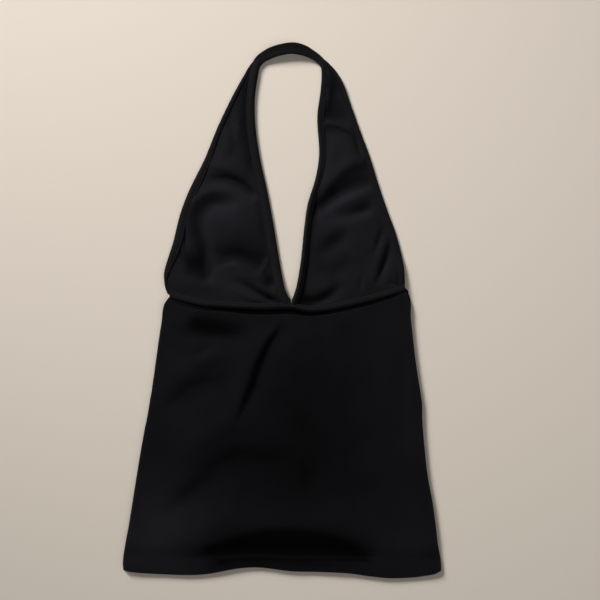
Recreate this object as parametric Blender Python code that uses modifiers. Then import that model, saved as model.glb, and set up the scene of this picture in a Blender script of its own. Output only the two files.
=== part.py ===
"""Halter neck top in black jersey, laid flat with its front up.

Metres, +Z up. The origin is on the surface the top lies on, below the middle of its outline.
+Y points to the neck loop and +X to the viewer's right. Tables and sizes are in millimetres.
"""
import math
from collections import namedtuple

import bpy

MM = 0.001

# Driving dimensions
PANEL_WALL = 1.2            # jersey panels
TRIM_WALL = 1.0             # bindings and band
SEAM_GAP = 0.3              # between neighbouring pieces
BAND_WIDTH = 5.3            # underbust band
BAND_OVERLAP = 1.0          # of the band, below the seam
HEM_DEPTH = 15.0
BACK_BINDING_WIDTH = 8.0
BODY_LOFT = 2.2             # how far the front lies clear of the back
HEM_LOFT = 0.4              # the same on the turned-up hem
SIDE_CURL = 9.0             # width of the curl where front and back meet at a side seam
CURL_RISE = 0.45            # of the back's edge
BODY_WIDTH = 300.0          # about, to place the curls' columns

HEM_STEPS = (0.0515, 0.0615, 0.078)     # rows each side of the hem's upper edge, as shares of the height

# How the cloth settles from one level to the next
BACK_CLIMB_START = 24.0     # below the back's top edge, where it starts to rise into its binding
BACK_CLIMB_LENGTH = 12.0
FRONT_CLIMB_START = 30.0    # below the underbust seam, where the front starts to rise over that binding
FRONT_CLIMB_LENGTH = 18.0
BUST_SETTLE_START = 8.0     # above the seam, where the bust panels start down to the surface
BUST_SETTLE_LENGTH = 36.0
SEAM_BORDER = 9.0           # each side of the seam, without folds
BOUND_BORDER = 7.0          # beside a bound edge, without folds
SIDE_BORDER = 4.0           # beside a side seam, without folds
FOLD_FADE = 14.0            # over which folds fade in from a border
DEEPEST_TROUGH = 0.8        # of a bust panel, below its bound edges

# In rows of a table
LOOK_AHEAD = 0.02           # to find an edge's direction
CLOSING_ROWS = 0.7          # over which the binding's leaves close where the strap starts

# Sizes that follow
LEAF_OFFSET = PANEL_WALL / 2 + SEAM_GAP + TRIM_WALL / 2     # panel's middle to a binding leaf's middle
EDGE_INSET = LEAF_OFFSET + TRIM_WALL / 2                    # outline to the panel's edge in its binding
BOUND_HEIGHT = EDGE_INSET                                   # middle of a bound edge lying on the surface
BACK_BINDING_TOP = 2 * BOUND_HEIGHT
SEAM_HEIGHT = BACK_BINDING_TOP + SEAM_GAP + PANEL_WALL / 2  # middle of the panels at the underbust seam
STRAP_OFFSET = (TRIM_WALL + SEAM_GAP) / 2                   # as LEAF_OFFSET, where the strap is empty

# The body's side outlines, from the underbust seam down. The back's right corner stands out.
Side = namedtuple("Side", "y left_x front_right_x back_right_x")
BODY_SIDES = [
    Side(22, -112.5, 126.5, 132.6),
    Side(14, -118.4, 129.6, 135.0),
    Side(6, -123.3, 132.2, 135.7),
    Side(-8, -126.2, 135.0, 135.2),
    Side(-60, -133.7, 141.4, 141.2),
    Side(-111, -141.8, 147.0, 146.8),
    Side(-178, -153.8, 154.0, 153.8),
    Side(-245, -164.6, 163.6, 163.2),
    Side(-263, -167.2, 166.6, 166.2),
    Side(-282, -166.8, 167.2, 166.8),
]

# The underbust seam and the hem edge, from left to right
EdgePoint = namedtuple("EdgePoint", "x y")
UNDERBUST_SEAM = [
    EdgePoint(-118, 14.0),
    EdgePoint(-97, 7.5),
    EdgePoint(-78, 3.5),
    EdgePoint(-23, -0.9),
    EdgePoint(8, 0.5),
    EdgePoint(28, -2.8),
    EdgePoint(50, -0.9),
    EdgePoint(92, 8.6),
    EdgePoint(113, 14.9),
    EdgePoint(128, 20.0),
]
HEM_EDGE = [
    EdgePoint(-167, -273.5),
    EdgePoint(-158, -276.0),
    EdgePoint(-100, -278.6),
    EdgePoint(-66, -275.2),
    EdgePoint(-38, -270.6),
    EdgePoint(-12, -271.6),
    EdgePoint(10, -274.6),
    EdgePoint(68, -276.4),
    EdgePoint(112, -281.4),
    EdgePoint(152, -278.8),
    EdgePoint(167, -273.5),
]
BACK_TOP_EDGE = [
    EdgePoint(-121, 11.5),
    EdgePoint(-97, 8.0),
    EdgePoint(-60, 3.6),
    EdgePoint(-10, 1.4),
    EdgePoint(45, 1.6),
    EdgePoint(90, 10.0),
    EdgePoint(115, 17.0),
    EdgePoint(133, 21.8),
]

# Sections across a bust panel, from the underbust seam to the strap: the outline's point on
# the armhole side, the armhole binding's width there, and the same on the neckline side.
Section = namedtuple("Section", "arm_x arm_y arm_binding neck_x neck_y neck_binding")
LEFT_SECTIONS = [
    Section(-118.3, 14.1, 4.0, 8.8, 0.6, 8.0),
    Section(-122.8, 26.5, 5.0, 8.4, 10.4, 9.0),
    Section(-123.4, 42.0, 6.2, 2.6, 25.4, 9.3),
    Section(-114.7, 73.0, 6.8, -3.6, 59.0, 9.4),
    Section(-107.7, 101.0, 7.2, -9.1, 92.6, 9.4),
    Section(-98.2, 126.2, 7.2, -15.6, 127.0, 9.2),
    Section(-81.7, 159.8, 7.0, -22.8, 160.0, 9.0),
    Section(-68.0, 193.4, 6.8, -27.6, 193.4, 8.8),
    Section(-53.4, 224.0, 6.4, -28.2, 222.0, 8.6),
    Section(-41.0, 246.5, 3.4, -25.4, 245.0, 8.5),
    Section(-34.0, 257.0, 2.2, -23.0, 256.6, 9.0),
]
RIGHT_SECTIONS = [
    Section(128.0, 20.0, 6.4, 9.2, 0.6, 7.0),
    Section(128.2, 33.0, 6.2, 9.7, 10.4, 7.0),
    Section(126.6, 50.6, 5.4, 14.5, 25.4, 7.0),
    Section(119.5, 79.0, 4.6, 19.1, 52.0, 7.0),
    Section(108.5, 109.4, 4.2, 22.4, 84.2, 7.0),
    Section(100.0, 134.6, 4.0, 26.4, 112.0, 7.0),
    Section(91.5, 162.0, 4.0, 34.8, 140.0, 7.0),
    Section(82.9, 185.0, 4.0, 38.4, 166.0, 7.0),
    Section(71.8, 216.0, 4.0, 36.5, 202.0, 7.0),
    Section(64.4, 237.0, 3.6, 39.8, 230.0, 7.0),
    Section(56.8, 250.4, 2.6, 41.0, 247.0, 7.0),
    Section(49.4, 258.0, 2.2, 39.9, 256.8, 7.2),
]
ARM_BINDING_ENDS = {"left": (0.52, 9.45), "right": (0.46, 9.75)}     # in section numbers
NECK_BINDING_START = 0.66                                            # just above the band

# The strap over the nape, from the left bust panel's top to the right one's
StrapPoint = namedtuple("StrapPoint", "x y width lift")
NAPE = [
    StrapPoint(-17.6, 261.3, 8.8, 0.6),
    StrapPoint(-6.2, 266.6, 10.2, 2.2),
    StrapPoint(8.3, 269.6, 11.6, 3.2),
    StrapPoint(21.8, 267.2, 9.6, 2.4),
    StrapPoint(30.6, 263.7, 7.8, 1.2),
    StrapPoint(36.6, 260.2, 7.0, 0.3),
]

# A fold is a soft trough, or a ridge where its height is positive, along a bent line.
Fold = namedtuple("Fold", "x1 y1 bend_x bend_y x2 y2 width height")
LEFT_FOLDS = [
    Fold(-72, 144, -50, 146, -28, 129, 5.5, -2.4),
    Fold(-70, 152, -50, 153, -30, 140, 6.0, 1.4),
    Fold(-96, 88, -97, 62, -76, 43, 6.5, -2.6),
    Fold(-72, 66, -52, 60, -36, 66, 8.0, -1.8),
    Fold(-60, 54, -44, 50, -28, 36, 5.5, 1.8),
    Fold(-36, 29, -22, 24, -6, 20, 5.0, -1.4),
]
RIGHT_FOLDS = [
    Fold(50, 186, 58, 196, 66, 190, 4.0, 1.2),
    Fold(42, 118, 62, 136, 92, 147, 6.0, -3.2),
    Fold(40, 108, 62, 122, 96, 133, 6.0, 2.2),
    Fold(46, 104, 72, 108, 96, 116, 5.5, -1.8),
    Fold(44, 62, 60, 72, 74, 90, 8.0, -1.4),
    Fold(100, 36, 112, 56, 115, 78, 5.0, -2.2),
]
BODY_FOLDS = [
    Fold(-2, -14, -30, -50, -44, -110, 9.0, -2.0),
    Fold(-18, -16, -44, -56, -58, -112, 10.0, 1.9),
    Fold(-98, -20, -72, -26, -46, -14, 11.0, -1.6),
    Fold(-120, -100, -92, -72, -54, -66, 11.0, 1.5),
    Fold(-118, -206, -68, -158, 14, -152, 13.0, 1.5),
    Fold(-84, -250, 6, -206, 96, -252, 14.0, 1.7),
    Fold(70, -60, 96, -120, 84, -186, 14.0, 1.2),
]

# The body of air each bust panel holds
Puff = namedtuple("Puff", "x y radius_x radius_y height")
LEFT_PUFF = Puff(-54, 98, 36, 40, 5.6)
RIGHT_PUFF = Puff(68, 88, 38, 46, 4.2)


def ease(share):
    """0 to 1 with soft ends, for a share of the way from 0 to 1."""
    share = min(max(share, 0.0), 1.0)
    return share * share * (3 - 2 * share)


def smooth_curve(knots, values, position):
    """Value at a position on a smooth curve that passes through the values at the knots."""
    last = len(knots) - 1
    start = 0
    while start < last - 1 and knots[start + 1] < position:
        start += 1

    def slope(knot):
        before = max(knot - 1, 0)
        after = min(knot + 1, last)
        return (values[after] - values[before]) / (knots[after] - knots[before])

    span = knots[start + 1] - knots[start]
    share = (position - knots[start]) / span
    if share < 0 or share > 1:                               # straight on, past the ends
        end = 0 if share < 0 else last
        return values[end] + slope(end) * (position - knots[end])
    rest = 1 - share
    bulge = rest * slope(start) - share * slope(start + 1)
    return ease(share) * values[start + 1] + ease(rest) * values[start] + share * rest * span * bulge


def column_over(rows, key, column, position):
    """A table's column as a smooth function of its key column."""
    ordered = sorted(rows, key=lambda row: getattr(row, key))
    knots = [getattr(row, key) for row in ordered]
    values = [getattr(row, column) for row in ordered]
    return smooth_curve(knots, values, position)


def column_at(rows, column, place):
    """A table's column at a place counted in rows."""
    return smooth_curve(range(len(rows)), [getattr(row, column) for row in rows], place)


def seam_y(x):
    return column_over(UNDERBUST_SEAM, "x", "y", x)


def hem_y(x):
    return column_over(HEM_EDGE, "x", "y", x)


def back_top_y(x):
    return column_over(BACK_TOP_EDGE, "x", "y", x)


def steps(start, end, count):
    """Evenly spaced values from start to end, both included."""
    return [start + (end - start) * number / count for number in range(count + 1)]


def fold_height(folds, x, y):
    """Height that the folds add at a point."""
    total = 0.0
    for fold in folds:
        nearest = None
        for share in steps(0.0, 1.0, 24):
            rest = 1 - share
            line_x = rest * rest * fold.x1 + 2 * rest * share * fold.bend_x + share * share * fold.x2
            line_y = rest * rest * fold.y1 + 2 * rest * share * fold.bend_y + share * share * fold.y2
            distance = math.hypot(x - line_x, y - line_y)
            if nearest is None or distance < nearest[0]:
                nearest = (distance, share)
        distance, share = nearest
        swell = math.sqrt(max(4 * share * (1 - share), 0.0))
        total += fold.height * swell * math.exp(-(distance / fold.width) ** 2)
    return total


def puff_height(puff, x, y):
    across = (x - puff.x) / puff.radius_x
    up = (y - puff.y) / puff.radius_y
    return puff.height * math.exp(-across * across - up * up)


def back_underside(x, y, side_distance):
    """The back lies flat, and rises only for its binding and in the curl of its side seams."""
    bound = ease((y - back_top_y(x) + BACK_CLIMB_START) / BACK_CLIMB_LENGTH)
    curl = max(1 - side_distance / SIDE_CURL, 0.0) ** 2
    return (BOUND_HEIGHT - PANEL_WALL / 2) * bound + CURL_RISE * curl * (1 - bound)


def hem_share(x, y, margin=0.0):
    """1 on the turned-up hem and 0 above it, or a margin further up."""
    return ease((hem_y(x) + HEM_DEPTH + 1 + margin - y) / 2)


def front_underside(x, y, side_distance):
    """The front lies clear of the back, and meets it in a curl at the side seams."""
    curl = max(1 - side_distance / SIDE_CURL, 0.0) ** 2
    back_top = CURL_RISE * curl + PANEL_WALL * (1 + hem_share(x, y, margin=4.0))
    loft = BODY_LOFT + (HEM_LOFT - BODY_LOFT) * ease((hem_y(x) + 2 * HEM_DEPTH - y) / HEM_DEPTH)
    shown = ease((side_distance - SIDE_BORDER) / FOLD_FADE) * ease((y - hem_y(x) - HEM_DEPTH) / FOLD_FADE)
    folds = shown * ease((seam_y(x) - SEAM_BORDER - y) / FOLD_FADE) * fold_height(BODY_FOLDS, x, y)
    low = back_top + SEAM_GAP + max(loft * (1 - curl) + folds, 0.0)
    over_binding = BACK_BINDING_TOP + SEAM_GAP
    climb = ease((y - seam_y(x) + FRONT_CLIMB_START) / FRONT_CLIMB_LENGTH)
    return low + (over_binding - low) * climb


class Edge:
    """A bound edge: its outline, the way in to the panel, and the binding's width."""

    def __init__(self, rows, names, inward_turn):
        self.rows = rows
        self.x_name, self.y_name, self.width_name = names
        self.inward_turn = inward_turn

    def point(self, place):
        return column_at(self.rows, self.x_name, place), column_at(self.rows, self.y_name, place)

    def inward(self, place):
        ahead_x, ahead_y = self.point(place + LOOK_AHEAD)
        behind_x, behind_y = self.point(place - LOOK_AHEAD)
        run_x = ahead_x - behind_x
        run_y = ahead_y - behind_y
        length = math.hypot(run_x, run_y)
        return -self.inward_turn * run_y / length, self.inward_turn * run_x / length

    def inset(self, place, distance):
        x, y = self.point(place)
        inward_x, inward_y = self.inward(place)
        return x + distance * inward_x, y + distance * inward_y


def edge_height(x, y):
    """Middle of a bound edge: on the surface, and up on the back's binding at the seam."""
    settled = ease((y - seam_y(x) - BUST_SETTLE_START) / BUST_SETTLE_LENGTH)
    return SEAM_HEIGHT + (BOUND_HEIGHT - SEAM_HEIGHT) * settled


class BustPanel:
    """One bust panel: its sections, its folds and the air under it."""

    def __init__(self, side, sections, folds, puff):
        self.side = side
        self.folds = folds
        self.puff = puff
        self.last = len(sections) - 1
        turn = -1 if side == "left" else 1
        self.arm = Edge(sections, ("arm_x", "arm_y", "arm_binding"), turn)
        self.neck = Edge(sections, ("neck_x", "neck_y", "neck_binding"), -turn)

    def row_point(self, across, place):
        """A point of the straight line across the panel, and the line's length."""
        left, right = (self.arm, self.neck) if self.side == "left" else (self.neck, self.arm)
        left_x, left_y = left.inset(place, EDGE_INSET)
        right_x, right_y = right.inset(place, EDGE_INSET)
        x = left_x + (right_x - left_x) * across
        y = left_y + (right_y - left_y) * across
        return x, y, math.hypot(right_x - left_x, right_y - left_y)

    def seam_drop(self, across):
        """From the lowest line down to the seam."""
        x, y, _ = self.row_point(across, 0.0)
        return seam_y(x) + SEAM_GAP - y

    def point(self, across, place):
        """Middle of the cloth, at a share of the way from left to right and a section number."""
        x, y, width = self.row_point(across, place)
        end_drop = self.seam_drop(0.0) * (1 - across) + self.seam_drop(1.0) * across
        y += end_drop * max(1 - place / 0.6, 0.0) ** 2
        y += (self.seam_drop(across) - end_drop) * max(1 - place / 3, 0.0) ** 2
        border = width * min(across, 1 - across)
        shown = ease((border - BOUND_BORDER) / FOLD_FADE) * ease((y - seam_y(x) - SEAM_BORDER) / FOLD_FADE)
        swell = puff_height(self.puff, x, y) + fold_height(self.folds, x, y)
        return x, y, edge_height(x, y) + shown * max(swell, -DEEPEST_TROUGH)


def make_material(name, colour, roughness, sheen):
    material = bpy.data.materials.new(name)
    material.use_nodes = True
    shader = material.node_tree.nodes["Principled BSDF"]
    shader.inputs["Base Color"].default_value = (*colour, 1.0)
    shader.inputs["Roughness"].default_value = roughness
    shader.inputs["Metallic"].default_value = 0.0
    shader.inputs["Sheen Weight"].default_value = sheen
    return material


def cloth_piece(name, columns, rows, place, wall, outward, material, hem_weight=None):
    """A wall of cloth on a grid whose points are put in place by a function of column and row."""
    bpy.ops.mesh.primitive_grid_add(x_subdivisions=len(columns) - 1, y_subdivisions=len(rows) - 1, size=1)
    piece = bpy.context.object
    piece.name = name
    piece.data.name = name
    for number, vertex in enumerate(piece.data.vertices):
        row, column = divmod(number, len(columns))
        vertex.co = [value * MM for value in place(columns[column], rows[row])]
    solidify = piece.modifiers.new("wall", "SOLIDIFY")
    solidify.thickness = wall * MM
    solidify.offset = outward
    solidify.use_even_offset = True
    if hem_weight:
        group = piece.vertex_groups.new(name="turned hem")
        for number, vertex in enumerate(piece.data.vertices):
            x, y, _ = [value / MM for value in vertex.co]
            group.add([number], (1 + hem_weight(x, y)) / 2, "REPLACE")
        solidify.thickness = 2 * wall * MM
        solidify.vertex_group = group.name
    piece.data.materials.append(material)
    piece.data.shade_smooth()
    piece.data.set_sharp_from_angle(angle=math.radians(40))
    for collection in piece.users_collection:
        collection.objects.unlink(piece)
    bpy.data.collections["halter_neck_top"].objects.link(piece)
    return piece


def body_columns():
    """Shares of the width: close together in the side curls and even between them."""
    curl = SIDE_CURL / BODY_WIDTH
    between = steps(2 * curl, 1 - 2 * curl, 20)
    return [0.0, curl / 2, curl, *between, 1 - curl, 1 - curl / 2, 1.0]


def body_point(across, up, right_name, top_y, underside):
    """A point of a body panel at shares of its width and height."""
    x = 0.0
    for _ in range(4):                                       # the outline's x and y depend on each other
        y = hem_y(x) + (top_y(x) - hem_y(x)) * up
        left_x = column_over(BODY_SIDES, "y", "left_x", y)
        right_x = column_over(BODY_SIDES, "y", right_name, y)
        x = left_x + (right_x - left_x) * across
    side_distance = min(x - left_x, right_x - x)
    return x, y, underside(x, y, side_distance)


def make_back_panel(material):
    def top_y(x):
        return back_top_y(x) - EDGE_INSET

    def place(across, up):
        return body_point(across, up, "back_right_x", top_y, back_underside)

    rows = [0.0, *HEM_STEPS, *steps(0.16, 0.86, 6), 0.915, 0.958, 1.0]
    columns = body_columns()
    sparse = columns[:3] + columns[3:-3:2] + columns[-3:]
    cloth_piece("back_panel", sparse, rows, place, PANEL_WALL, 1, material, hem_share)


def make_front_panel(material):
    def top_y(x):
        return seam_y(x) - SEAM_GAP / 2

    def place(across, up):
        return body_point(across, up, "front_right_x", top_y, front_underside)

    rows = [0.0, *HEM_STEPS, *steps(0.115, 0.9, 13), 0.935, 0.965, 1.0]
    cloth_piece("front_panel", body_columns(), rows, place, PANEL_WALL, 1, material, hem_share)


def make_bust_panel(panel, material):
    rows = [*steps(0.0, 1.2, 4), *steps(1.55, 3.3, 5), *steps(3.9, panel.last, 9)]
    columns = [0.0, 0.08, *steps(0.16, 0.84, 8), 0.92, 1.0]
    cloth_piece("bust_panel_" + panel.side, columns, rows, panel.point, PANEL_WALL, 0, material)


def make_underbust_band(material):
    """A strip over the seam, held a gap above the panels it lies on."""
    middle = SEAM_HEIGHT + PANEL_WALL / 2 + SEAM_GAP + TRIM_WALL / 2
    left_end = UNDERBUST_SEAM[0].x
    right_end = UNDERBUST_SEAM[-1].x

    def place(across, up):
        x = left_end + (right_end - left_end) * across
        return x, seam_y(x) - BAND_OVERLAP + BAND_WIDTH * up, middle

    cloth_piece("underbust_band", steps(0.0, 1.0, 32), steps(0.0, 1.0, 2), place, TRIM_WALL, 0, material)


def binding_section(width, offset):
    """Across a folded binding, from one leaf's end round the fold to the other's: in, and up."""
    bend = TRIM_WALL / 2 + offset
    slant = offset * math.sqrt(0.5)
    half = [(width, offset), (bend, offset), (bend - slant, slant)]
    return half + [(TRIM_WALL / 2, 0.0)] + [(inward, -up) for inward, up in reversed(half)]


def make_binding(name, stations, height, material):
    """A binding folded over an edge. A station has its outline point, way in, width, offset and lift."""
    def place(corner, number):
        x, y, inward_x, inward_y, width, offset, lift = stations[number]
        inward, up = binding_section(width, offset)[corner]
        x += inward * inward_x
        y += inward * inward_y
        return x, y, height(x, y) + lift + up

    cloth_piece(name, range(7), range(len(stations)), place, TRIM_WALL, 0, material)


def edge_stations(edge, places):
    stations = []
    for place in places:
        width = column_at(edge.rows, edge.width_name, place)
        stations.append((*edge.point(place), *edge.inward(place), width, LEAF_OFFSET, 0.0))
    return stations


def make_arm_binding(panel, material):
    start, end = ARM_BINDING_ENDS[panel.side]
    stations = edge_stations(panel.arm, steps(start, end, 26))
    make_binding("arm_binding_" + panel.side, stations, edge_height, material)


def make_back_binding(material):
    rows = [StrapPoint(point.x, point.y, BACK_BINDING_WIDTH, 0.0) for point in BACK_TOP_EDGE]
    edge = Edge(rows, ("x", "y", "width"), -1)
    stations = edge_stations(edge, steps(0.0, len(rows) - 1, 24))
    make_binding("back_binding", stations, lambda x, y: BOUND_HEIGHT, material)


def make_neck_binding(left, right, material):
    """Up the left neckline, over the nape as the strap, and down the right neckline."""
    stations = edge_stations(left.neck, steps(NECK_BINDING_START, left.last, 22))
    left_top = left.neck.point(left.last)
    right_top = right.neck.point(right.last)
    left_width = column_at(left.neck.rows, "neck_binding", left.last)
    right_width = column_at(right.neck.rows, "neck_binding", right.last)
    strap = [StrapPoint(*left_top, left_width, 0.0), *NAPE, StrapPoint(*right_top, right_width, 0.0)]
    edge = Edge(strap, ("x", "y", "width"), 1)
    for place in steps(0.0, len(strap) - 1, 21)[1:-1]:
        closed = ease(place / CLOSING_ROWS) * ease((len(strap) - 1 - place) / CLOSING_ROWS)
        offset = LEAF_OFFSET + (STRAP_OFFSET - LEAF_OFFSET) * closed
        width = column_at(strap, "width", place)
        lift = column_at(strap, "lift", place)
        stations.append((*edge.point(place), *edge.inward(place), width, offset, lift))
    stations.extend(reversed(edge_stations(right.neck, steps(NECK_BINDING_START, right.last, 24))))
    make_binding("neck_binding", stations, edge_height, material)


def main():
    for old in list(bpy.data.objects):
        bpy.data.objects.remove(old)
    bpy.context.scene.collection.children.link(bpy.data.collections.new("halter_neck_top"))
    jersey = make_material("black_jersey", (0.0075, 0.0073, 0.0085), 0.72, 0.35)
    binding = make_material("black_binding", (0.0085, 0.0082, 0.0095), 0.66, 0.4)
    left = BustPanel("left", LEFT_SECTIONS, LEFT_FOLDS, LEFT_PUFF)
    right = BustPanel("right", RIGHT_SECTIONS, RIGHT_FOLDS, RIGHT_PUFF)
    make_back_panel(jersey)
    make_front_panel(jersey)
    make_bust_panel(left, jersey)
    make_bust_panel(right, jersey)
    make_underbust_band(binding)
    make_neck_binding(left, right, binding)
    make_arm_binding(left, binding)
    make_arm_binding(right, binding)
    make_back_binding(binding)


main()
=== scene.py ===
# A halter neck top in black jersey, laid flat on a pale floor with its front up.
# Sizes are in millimetres unless a name says otherwise, and become metres when a mesh is made.
import math

import bpy
import numpy as np
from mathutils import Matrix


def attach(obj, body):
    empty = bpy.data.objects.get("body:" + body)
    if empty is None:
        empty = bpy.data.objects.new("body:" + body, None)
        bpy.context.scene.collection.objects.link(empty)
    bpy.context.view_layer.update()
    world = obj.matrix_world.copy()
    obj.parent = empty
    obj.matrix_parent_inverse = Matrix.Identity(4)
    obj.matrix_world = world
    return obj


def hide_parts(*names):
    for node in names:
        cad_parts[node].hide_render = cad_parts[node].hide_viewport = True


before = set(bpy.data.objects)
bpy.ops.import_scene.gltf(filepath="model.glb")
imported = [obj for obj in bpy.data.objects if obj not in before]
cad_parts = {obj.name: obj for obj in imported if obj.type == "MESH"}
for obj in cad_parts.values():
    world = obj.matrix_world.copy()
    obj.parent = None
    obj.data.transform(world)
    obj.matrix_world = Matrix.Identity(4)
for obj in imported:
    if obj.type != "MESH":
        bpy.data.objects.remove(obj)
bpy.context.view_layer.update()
print("frame loaded")

mm = 0.001

# What the pieces share
cloth = {"wall": 0.8, "bindingWall": 0.5, "backHeight": 0.6, "frontHeight": 5.2, "seamHeight": 4.8,
         "boundHeight": 1.9}


# Curves and folds

def ease(share):
    share = np.clip(share, 0.0, 1.0)
    return share * share * (3 - 2 * share)


def curveThrough(knots, values, position):
    # a smooth curve through the values at the knots, straight on past both ends
    knots = np.asarray(knots, float)
    values = np.asarray(values, float)
    position = np.asarray(position, float)
    last = len(knots) - 1
    before = np.maximum(np.arange(last + 1) - 1, 0)
    after = np.minimum(np.arange(last + 1) + 1, last)
    slopes = (values[after] - values[before]) / (knots[after] - knots[before])
    start = np.clip(np.searchsorted(knots, position) - 1, 0, last - 1)
    span = knots[start + 1] - knots[start]
    share = (position - knots[start]) / span
    inside = np.clip(share, 0.0, 1.0)
    rest = 1 - inside
    value = ease(inside) * values[start + 1] + ease(rest) * values[start]
    value += inside * rest * span * (rest * slopes[start] - inside * slopes[start + 1])
    value += np.where(share < 0, slopes[0] * (position - knots[0]), 0.0)
    return value + np.where(share > 1, slopes[last] * (position - knots[last]), 0.0)


def column(table, name, place):
    # a table's column at a place counted in rows
    values = table[name]
    return curveThrough(range(len(values)), values, place)


def travelled(x, y):
    # length along a line of points
    return np.concatenate([[0], np.cumsum(np.hypot(np.diff(x), np.diff(y)))])


def tableLine(table, xName, yName, place):
    # a line's points and its direction, at places counted in rows
    names = (xName, yName)
    x, y = [column(table, name, place) for name in names]
    runX, runY = [column(table, name, place + 0.02) - column(table, name, place - 0.02) for name in names]
    length = np.hypot(runX, runY)
    return x, y, runX / length, runY / length


def creaseHeight(creases, x, y):
    # each crease is rows of x, y and height, and how far it spreads to the left and right of its run
    flatX = x.ravel()
    flatY = y.ravel()
    total = np.zeros(flatX.shape)
    for rows, left, right in creases:
        places = np.linspace(0, len(rows) - 1, 24 * (len(rows) - 1) + 1)
        lineX, lineY, heights = [curveThrough(range(len(rows)), values, places) for values in zip(*rows)]
        reach = 2.6 * max(left, right)
        near = (flatX > lineX.min() - reach) & (flatX < lineX.max() + reach)
        near &= (flatY > lineY.min() - reach) & (flatY < lineY.max() + reach)
        if not near.any():
            continue
        awayX = flatX[near, None] - lineX
        awayY = flatY[near, None] - lineY
        distances = awayX ** 2 + awayY ** 2
        nearest = distances.argmin(axis=1)
        index = np.arange(len(nearest))
        turned = np.gradient(lineX)[nearest] * awayY[index, nearest]
        turned -= np.gradient(lineY)[nearest] * awayX[index, nearest]
        spread = np.where(turned > 0, left, right)
        total[near] += heights[nearest] * np.exp(-distances[index, nearest] / spread ** 2)
    return total.reshape(x.shape)


def puffHeight(puffs, x, y):
    # rows of x, y, radius across, radius up and height
    total = np.zeros(x.shape)
    for centreX, centreY, radiusX, radiusY, height in puffs:
        total += height * np.exp(-((x - centreX) / radiusX) ** 2 - ((y - centreY) / radiusY) ** 2)
    return total


# painted light and shade from patches and lines, held between -0.85 and 1
def paintedShadingOf(puffs, lines, x, y):
    return np.clip(puffHeight(puffs, x, y) + creaseHeight(lines, x, y), -0.85, 1.0)


def ripples(x, y, length, height, seed):
    # uneven waves about a length apart
    chance = np.random.default_rng(seed)
    total = np.zeros(np.broadcast(x, y).shape)
    for _ in range(7):
        turn, phase = chance.uniform(0, 2 * math.pi, 2)
        wave = 2 * math.pi / (length * chance.uniform(0.7, 1.6))
        total += np.sin((x * math.cos(turn) + y * math.sin(turn)) * wave + phase)
    return height * total / 3


def softFloor(height, lowest, softness=0.3):
    return lowest + softness * np.logaddexp(0, (height - lowest) / softness)


# The outline

bodySides = {
    "y": [-282, -263, -245, -224, -199, -174, -149, -124, -111, -98, -86, -73, -48, -23, -8, 6, 14, 22],
    "left": [-166.6, -167.3, -164.8, -161.0, -157.0, -153.0, -148.9, -144.4, -141.7, -139.6, -137.5, -135.5,
             -132.1, -128.5, -126.2, -124.0, -118.6, -112.5],
    "frontRight": [166.6, 165.9, 162.8, 160.4, 156.8, 152.2, 149.3, 147.1, 146.4, 146.2, 144.6, 142.5, 138.8,
                   136.1, 134.5, 133.6, 131.6, 128.2],
    "backRight": [166.4, 165.7, 162.6, 160.2, 156.6, 152.0, 149.1, 146.9, 146.2, 146.0, 144.4, 142.3, 138.6,
                  136.0, 134.3, 134.9, 133.5, 131.2],
}
underbustSeam = {
    "x": [-118, -97, -78, -23, 8, 28, 50, 92, 113, 128],
    "y": [14.8, 8.9, 5.3, 2.2, 2.8, -0.6, 1.4, 10.9, 17.1, 22.0],
}
hemEdge = {
    "x": [-167, -158, -130, -100, -82, -66, -52, -38, -25, -12, 10, 40, 68, 90, 112, 135, 152, 160, 167],
    "y": [-272.0, -274.0, -276.1, -277.1, -276.4, -273.8, -271.0, -269.4, -269.2, -270.4, -273.1, -273.9,
          -275.2, -278.2, -280.3, -279.8, -277.6, -275.8, -272.0],
}
backTop = {
    "x": [-121, -97, -60, -10, 45, 90, 115, 126, 130.6, 132.6],
    "y": [11.5, 8.0, 3.6, 1.4, 1.6, 10.0, 17.8, 23.6, 22.4, 18.8],
}


def seamY(x):
    return curveThrough(underbustSeam["x"], underbustSeam["y"], x)


def hemY(x):
    return curveThrough(hemEdge["x"], hemEdge["y"], x)


def backTopY(x):
    return curveThrough(backTop["x"], backTop["y"], x)


hemStitching = {"y": -259.4, "follow": 0.3, "middle": -274, "rows": (0.0, 2.0), "pull": 0.05}


def hemStitchY(x):
    # the stitching runs straighter than the hem's edge, which lifts and turns in places
    return hemStitching["y"] + hemStitching["follow"] * (hemY(x) - hemStitching["middle"])


# Shaders

def setInputs(tree, node, values):
    # a value that is a socket is joined to the input, and any other is its value
    for name, value in values.items():
        if isinstance(value, bpy.types.NodeSocket):
            tree.links.new(value, node.inputs[name])
        else:
            node.inputs[name].default_value = value


def addNode(tree, kind, values, **settings):
    # a shader node with its settings made before its inputs are filled
    node = tree.nodes.new("ShaderNode" + kind)
    for name, value in settings.items():
        setattr(node, name, value)
    setInputs(tree, node, values)
    return node


def mathNode(tree, operation, *values):
    return addNode(tree, "Math", dict(enumerate(values)), operation=operation).outputs[0]


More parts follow.
